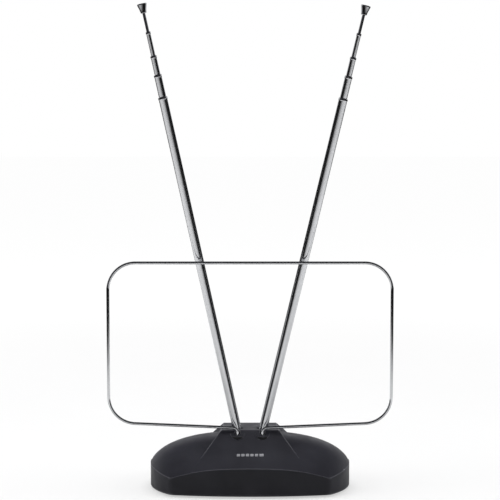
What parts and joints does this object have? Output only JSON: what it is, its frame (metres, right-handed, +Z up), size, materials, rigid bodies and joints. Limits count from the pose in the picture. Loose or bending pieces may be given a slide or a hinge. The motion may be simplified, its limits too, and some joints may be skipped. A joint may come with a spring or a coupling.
{
  "type": "rabbit ears antenna",
  "caption": "Set-top television aerial: two leaning telescopic rods and a rounded wire loop on a low domed base, with a short coaxial lead and plug.",
  "frame": {"origin": "centre of the base, on the surface it stands on", "axes": "+Z up, front of the base faces -Y, +X to the right seen from the front"},
  "size_m": [0.2298, 0.1335, 0.3907],
  "materials": {
    "housing_plastic": "fine satin texture",
    "dark_plastic": "moulded",
    "rubber": "matt",
    "screw_steel": "zinc plated",
    "ballast_steel": "plain mild steel",
    "bracket_steel": "plated pressing",
    "chrome": "polished plating",
    "brass": "plain",
    "board": "bare phenolic board",
    "ferrite": "sintered",
    "copper": "enamelled copper wire",
    "red_insulation": "extruded",
    "blue_insulation": "extruded",
    "cable_jacket": "extruded jacket",
    "nickel": "nickel plated"
  },
  "bodies": {
    "base": {"base_housing": "housing_plastic", "bottom_cover": "dark_plastic", "rubber_feet": "rubber", "cover_screws": "screw_steel", "ballast_weights": "ballast_steel", "pivot_carrier": "dark_plastic", "carrier_screws": "screw_steel", "bracket_rivets": "brass", "left_pivot_bracket": "bracket_steel", "left_pivot_pin": "brass", "left_spring_washers": "bracket_steel", "right_pivot_bracket": "bracket_steel", "right_pivot_pin": "brass", "right_spring_washers": "bracket_steel", "left_loop_socket": "brass", "right_loop_socket": "brass", "balun_board": "board", "board_screws": "screw_steel", "balun_core": "ferrite", "balun_windings": "copper", "left_rod_lead": "red_insulation", "right_rod_lead": "red_insulation", "left_loop_lead": "blue_insulation", "right_loop_lead": "blue_insulation", "cable_grommet": "dark_plastic", "coax_cable": "cable_jacket", "plug_sleeve": "nickel", "plug_pin": "copper"},
    "left_rod_1": {"left_rod_knuckle": "bracket_steel", "left_tube_1": "chrome"},
    "left_rod_2": {"left_tube_2": "chrome", "left_friction_sleeve_2": "brass"},
    "left_rod_3": {"left_tube_3": "chrome", "left_friction_sleeve_3": "brass"},
    "left_rod_4": {"left_tube_4": "chrome", "left_friction_sleeve_4": "brass"},
    "left_rod_tip": {"left_tip_rod": "chrome", "left_tip_cap": "chrome", "left_friction_sleeve_5": "brass"},
    "right_rod_1": {"right_rod_knuckle": "bracket_steel", "right_tube_1": "chrome"},
    "right_rod_2": {"right_tube_2": "chrome", "right_friction_sleeve_2": "brass"},
    "right_rod_3": {"right_tube_3": "chrome", "right_friction_sleeve_3": "brass"},
    "right_rod_4": {"right_tube_4": "chrome", "right_friction_sleeve_4": "brass"},
    "right_rod_tip": {"right_tip_rod": "chrome", "right_tip_cap": "chrome", "right_friction_sleeve_5": "brass"},
    "loop": {"loop_wire": "chrome"},
    "plug_nut_body": {"plug_nut": "nickel"}
  },
  "joints": [
    {"name": "left_rod_tilt", "type": "hinge", "parent": "base", "child": "left_rod_1", "pos_m": [-0.009, -0.0065, 0.041], "axis": [0, -1, 0], "range_deg": [-12.4, 32.6]},
    {"name": "left_section_2_slide", "type": "slide", "parent": "left_rod_1", "child": "left_rod_2", "axis": [-0.2147, 0, 0.9767], "range_m": [-0.0155, 0.229]},
    {"name": "left_section_3_slide", "type": "slide", "parent": "left_rod_2", "child": "left_rod_3", "axis": [-0.2147, 0, 0.9767], "range_m": [-0.0129, 0.2316]},
    {"name": "left_section_4_slide", "type": "slide", "parent": "left_rod_3", "child": "left_rod_4", "axis": [-0.2147, 0, 0.9767], "range_m": [-0.0168, 0.2277]},
    {"name": "left_tip_slide", "type": "slide", "parent": "left_rod_4", "child": "left_rod_tip", "axis": [-0.2147, 0, 0.9767], "range_m": [-0.0145, 0.232]},
    {"name": "right_rod_tilt", "type": "hinge", "parent": "base", "child": "right_rod_1", "pos_m": [0.009, -0.0065, 0.041], "axis": [0, 1, 0], "range_deg": [-13.4, 31.6]},
    {"name": "right_section_2_slide", "type": "slide", "parent": "right_rod_1", "child": "right_rod_2", "axis": [0.2317, 0, 0.9728], "range_m": [-0.0155, 0.229]},
    {"name": "right_section_3_slide", "type": "slide", "parent": "right_rod_2", "child": "right_rod_3", "axis": [0.2317, 0, 0.9728], "range_m": [-0.0129, 0.2316]},
    {"name": "right_section_4_slide", "type": "slide", "parent": "right_rod_3", "child": "right_rod_4", "axis": [0.2317, 0, 0.9728], "range_m": [-0.0168, 0.2277]},
    {"name": "right_tip_slide", "type": "slide", "parent": "right_rod_4", "child": "right_rod_tip", "axis": [0.2317, 0, 0.9728], "range_m": [-0.0145, 0.232]},
    {"name": "loop_lift", "type": "slide", "parent": "base", "child": "loop", "axis": [0, 0, 1], "range_m": [0, 0.015]},
    {"name": "plug_nut_turn", "type": "hinge", "parent": "base", "child": "plug_nut_body", "pos_m": [0.045, 0.082, 0.0066], "axis": [1, 0, 0], "continuous": true}
  ]
}
